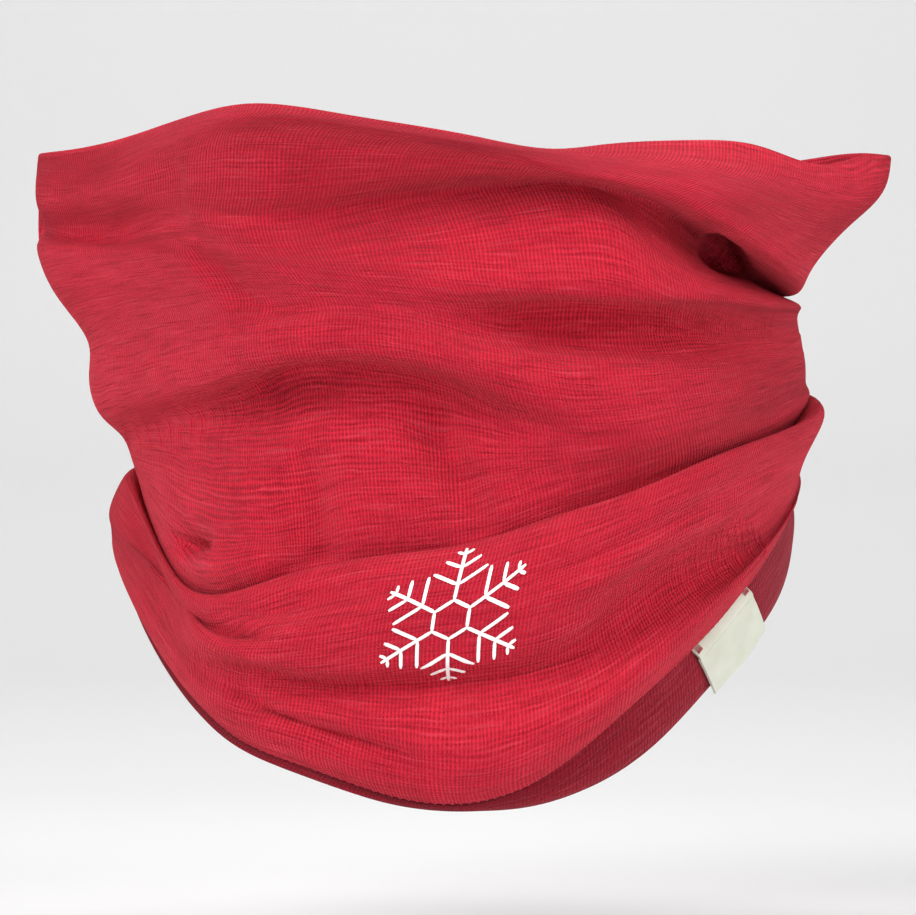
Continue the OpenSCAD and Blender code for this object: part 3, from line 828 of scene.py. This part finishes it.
# ---- printed motif: a plain six-armed snow crystal that follows the cloth
on_cloth = cowl.flat_map(*cowl.nearest(-2.3, 43.0))
LINE = 0.95  # width of its lines
MOTIF_R = 20.5
HUB = MOTIF_R * 0.26  # from its middle to the corners of the inner hexagon


def stroke(p, q):
    """A printed line from p to q: its face and then its underside, each as left edge, middle and right."""
    p, q = np.array(p, float), np.array(q, float)
    n = max(2, int(np.linalg.norm(q - p) / 0.9) + 1)
    c = p + (q - p) * np.linspace(0, 1, n)[:, None]
    side = np.array([p[1] - q[1], q[0] - p[0]]) / np.linalg.norm(q - p) * LINE / 2
    round_end = np.ones(n)
    round_end[0] = round_end[-1] = 0.6
    left, right = c - side * round_end[:, None], c + side * round_end[:, None]
    sheets = []
    for out, shoulder in ((0.3, 0.1), (0.02, 0)):
        for edge, drop in ((left, shoulder), (c, 0), (right, shoulder)):
            sheets.append(cowl.at(*on_cloth(edge[:, 0], edge[:, 1]), out - drop)[0])
    flat = [left, c, right, left, c, right]
    return sheets, flat


def print_lines(lines):
    co, faces, uv, base = [], [], [], 0
    for p, q in lines:
        sheets, flat = stroke(p, q)
        m = len(sheets[0])
        loop = [0, 1, 2, 5, 4, 3]
        co += sheets
        for a, b in zip(loop, loop[1:] + loop[:1]):
            i = np.arange(m - 1)
            here, there = base + a * m + i, base + b * m + i
            faces.append(np.stack([here, there, there + 1, here + 1], axis=1))
            uv.append(np.stack([flat[a][i], flat[b][i], flat[b][i + 1], flat[a][i + 1]], axis=1))
        for e, order in ((0, ((0, 3, 4, 1), (1, 4, 5, 2))), (m - 1, ((0, 1, 4, 3), (1, 2, 5, 4)))):
            for quad in order:
                faces.append(np.array([[base + k * m + e for k in quad]]))
                uv.append(np.array([[flat[k][e] for k in quad]]))
        base += 6 * m
    return np.concatenate(co), np.concatenate(faces), np.concatenate(uv)


def polar(r, degrees):
    return np.array([r * math.sin(math.radians(degrees)), r * math.cos(math.radians(degrees))])


lines = []
for arm in range(0, 360, 60):
    lines.append((polar(HUB, arm), polar(MOTIF_R, arm)))
    for share, reach in ((0.46, 0.4), (0.7, 0.26), (0.9, 0.12)):
        foot = polar(MOTIF_R * share, arm)
        for turned in (arm - 60, arm + 60):
            lines.append((foot + polar(LINE * 0.5, turned), foot + polar(MOTIF_R * reach, turned)))
    lines.append((polar(HUB, arm), polar(HUB, arm + 60)))
co, faces, uv = print_lines(lines)
motif = new_piece("print_motif_film", co, faces, uv, print_film)

# ---- folded label, caught in the bottom seam
hinge = next(j for j in frame["joints"] if j["name"] == "label_flap")
root = np.array(hinge["pos_m"]) / MM
run = -np.array(hinge["axis"], float)
run /= np.linalg.norm(run)
lowest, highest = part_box("woven_label")
centre = (np.array(lowest) + np.array(highest)) / 2 / MM
drop = centre - root
drop -= run * (drop @ run)
drop /= np.linalg.norm(drop)
face_out = np.cross(drop, run)
if face_out[1] > 0:
    face_out = -face_out
LABEL_W, LABEL_H, LABEL_T = 27.0, 11.6, 0.85


def label_mesh():
    """Tape folded in half over its free edge: two leaves that part slightly, with a round fold below."""
    nu, nv = 40, 20
    s = np.linspace(-0.5, 0.5, nu)
    down = np.linspace(0, 1, nv)
    leaf = LABEL_H - LABEL_T * 0.4
    outline = [(d * leaf, LABEL_T / 2) for d in down]  # front leaf, from the seam to the fold
    for q in np.radians([30, 60, 90, 120, 150]):
        outline.append((leaf + math.sin(q) * LABEL_T * 0.4, LABEL_T / 2 * math.cos(q)))
    outline += [(d * leaf, -LABEL_T / 2) for d in down[::-1]]
    prof = np.array(outline)
    length = np.concatenate([[0], np.cumsum(np.linalg.norm(np.diff(prof, axis=0), axis=1))])
    co = []
    for d, o in prof:
        share = d / LABEL_H
        bow = 0.7 * (np.cos(s * math.pi * 1.2) - 0.6) * share + 0.3 * np.sin(s * 9 + 1) * share**2
        lift = o + bow + 0.5 * share + 0.25 * np.sin(share * 3)
        width = LABEL_W * (1 - 0.02 * share)
        slant = -0.9 * share
        low = d - 0.2 + 0.1 * np.cos(s * math.pi)[:, None] * share
        co.append(root + np.outer(s * width + slant, run) + drop * low + np.outer(lift, face_out))
    co = np.array(co)
    m = len(prof)
    i, j = np.meshgrid(np.arange(m), np.arange(nu - 1), indexing="ij")
    i, j = i.ravel(), j.ravel()
    k = (i + 1) % m
    faces = np.stack([i * nu + j, k * nu + j, k * nu + j + 1, i * nu + j + 1], axis=1)
    length = np.append(length, length[-1] + LABEL_T)
    su = s * LABEL_W
    uv = np.stack([np.stack([su[j], length[i]], 1), np.stack([su[j], length[i + 1]], 1),
                   np.stack([su[j + 1], length[i + 1]], 1), np.stack([su[j + 1], length[i]], 1)], axis=1)
    ends, euv = [], []
    for col, flip in ((0, False), (nu - 1, True)):
        for a in range(m // 2):
            b = m - 1 - a
            if b - 1 <= a + 1:
                break
            quad = [a * nu + col, b * nu + col, (b - 1) * nu + col, (a + 1) * nu + col]
            ends.append(quad[::-1] if flip else quad)
            euv.append([[0, 0], [0, LABEL_T], [0.5, LABEL_T], [0.5, 0]])
    faces, uv = np.concatenate([faces, np.array(ends)]), np.concatenate([uv, np.array(euv, float)])
    return co.reshape(-1, 3), faces, uv


co, faces, uv = label_mesh()
label = new_piece("woven_label_tape", co, faces, uv, label_weave)

# the part of the tape that is caught in the seam, with the stitches at its corners
# (down from the hinge, off the cloth, half the thickness)
ROOT = ((0.15, 0.25, 0.15), (-0.3, 0.3, 0.36), (-1.3, 0.2, 0.42),
        (-2.4, -0.4, 0.42), (-3.4, -1.1, 0.42), (-4.4, -1.9, 0.42))
TACK = ((-3.6, -0.6), (-3.0, 0.1), (-2.2, 0.35), (-1.5, 0.3))  # (down, off the cloth) along a stitch
along_tape = np.linspace(-0.5, 0.5, 28)
bow = 0.12 * np.cos(along_tape * math.pi)
root_rows = []
for d, lift, half in ROOT:
    base = root + np.outer(along_tape * LABEL_W, run) + drop * d
    root_rows.append((base, bow + lift + half, bow + lift - half))
loop = [(base, top) for base, top, _ in root_rows] + [(base, low) for base, _, low in root_rows[::-1]]
co = np.array([base + np.outer(height, face_out) for base, height in loop])
m, nu = len(loop), len(along_tape)
i, j = np.meshgrid(np.arange(m), np.arange(nu - 1), indexing="ij")
i, j = i.ravel(), j.ravel()
k = (i + 1) % m
faces = np.stack([i * nu + j, i * nu + j + 1, k * nu + j + 1, k * nu + j], axis=1)
ends = [[a * nu + c, (a + 1) * nu + c, (m - 2 - a) * nu + c, (m - 1 - a) * nu + c][:: 1 if c == 0 else -1]
        for c in (0, nu - 1) for a in range(m // 2 - 1)]
faces = np.concatenate([faces, np.array(ends)])
uv = np.stack([along_tape[faces % nu] * LABEL_W, (faces // nu) * 0.8], axis=2)
tape = (co.reshape(-1, 3), faces, uv)
tacks = []
for end in (-1, 1):
    for k in range(5):
        x = end * (LABEL_W / 2 - 0.6 - 0.45 * k)
        tacks.append([root + run * x + drop * d + face_out * h for d, h in TACK])
thread = sweep(tacks, 0.13)
co = np.concatenate([tape[0], thread[0]])
faces = np.concatenate([tape[1], thread[1] + len(tape[0])])
uv = np.concatenate([tape[2], thread[2]])
tack = new_piece("label_tack_stitches", co, faces, uv, label_weave)
tack.data.materials.append(red_thread)
tack.data.polygons.foreach_set("material_index", [0] * len(tape[1]) + [1] * len(thread[1]))

for ob, node, slot in (
    (shell_cowl, "shell_cowl", "shell_knit"), (shell_face, "shell_face", "shell_knit"),
    (top_fold, "top_fold", "shell_knit"),
    (lining_neck, "lining_neck", "lining_knit"), (lining_face, "lining_face", "lining_knit"),
    (bottom_seam, "bottom_seam", "seam_knit"), (bottom_thread, "bottom_seam_thread", "red_thread"),
    (seam_lower, "shell_seam_lower", "red_thread"), (seam_upper, "shell_seam_upper", "red_thread"),
    (lining_lower, "lining_seam_lower", "red_thread"), (lining_upper, "lining_seam_upper", "red_thread"),
    (label, "woven_label", "label_weave"), (tack, "label_tack", "label_thread"),
    (motif, "print_motif", "print_film"),
):
    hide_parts(node)
for ob in (shell_cowl, lining_neck, bottom_seam, bottom_thread, seam_lower, lining_lower, motif, tack):
    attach(ob, "neck")
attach(label, "label")
for ob in (shell_face, lining_face, seam_upper, lining_upper, top_fold):
    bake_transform(ob)

# ---------------------------------------------------------------- room, light and camera
# lengths from here on are metres
PANEL = 0.9  # side of a light's panel
AIM = (0, 0, 0.08)


def area(name, power, place):
    """A square soft light that points at the middle of the gaiter."""
    data = bpy.data.lights.new(name, "AREA")
    data.shape, data.size, data.size_y = "RECTANGLE", PANEL, PANEL
    data.energy = power
    ob = bpy.data.objects.new(name, data)
    bpy.context.scene.collection.objects.link(ob)
    ob.location = place
    ob.rotation_mode = "QUATERNION"
    ob.rotation_quaternion = (Vector(AIM) - Vector(place)).to_track_quat("-Z", "Y")


area("window", 18.5, (-0.8, -0.9, 0.9))
area("front right", 8, (0.75, -0.95, 0.9))
area("right side", 6, (1.15, -0.4, 0.35))
area("ceiling", 6.5, (0, -0.05, 1.3))
world = bpy.data.worlds.new("room")
world.use_nodes = True
world.node_tree.nodes["Background"].inputs["Color"].default_value = (1, 1, 1, 1)
world.node_tree.nodes["Background"].inputs["Strength"].default_value = 0.2
bpy.context.scene.world = world
bpy.context.scene.view_settings.view_transform = "Standard"

floor_finish = Finish("pale floor", 0.8, 0.2)
cloud = floor_finish.node("ShaderNodeTexNoise")
cloud.inputs["Scale"].default_value = 3.0
pale = floor_finish.mix(cloud.outputs[0], (0.90, 0.90, 0.90), (0.93, 0.93, 0.93))
mesh = bpy.data.meshes.new("floor")
# (y, z) of the floor, which curves up into a wall behind
FLOOR = [(-2.2, -0.055), (0.5, -0.055), (0.9, -0.03), (1.2, 0.08), (1.4, 0.3), (1.5, 0.7), (1.52, 2.2)]
verts = [(x, y, z) for y, z in FLOOR for x in (-4, 4)]
mesh.from_pydata(verts, [], [(2 * i, 2 * i + 1, 2 * i + 3, 2 * i + 2) for i in range(len(FLOOR) - 1)])
mesh.polygons.foreach_set("use_smooth", [True] * len(mesh.polygons))
mesh.materials.append(floor_finish.done(pale))
floor = bpy.data.objects.new("floor", mesh)
bpy.context.scene.collection.objects.link(floor)

cam = bpy.data.cameras.new("camera")
cam.lens, cam.sensor_width = LENS, SENSOR
camera = bpy.data.objects.new("camera", cam)
bpy.context.scene.collection.objects.link(camera)
camera.location = (0, -EYE_BACK * MM, EYE_HIGH * MM)
camera.rotation_euler = (math.radians(90), 0, 0)
bpy.context.scene.camera = camera
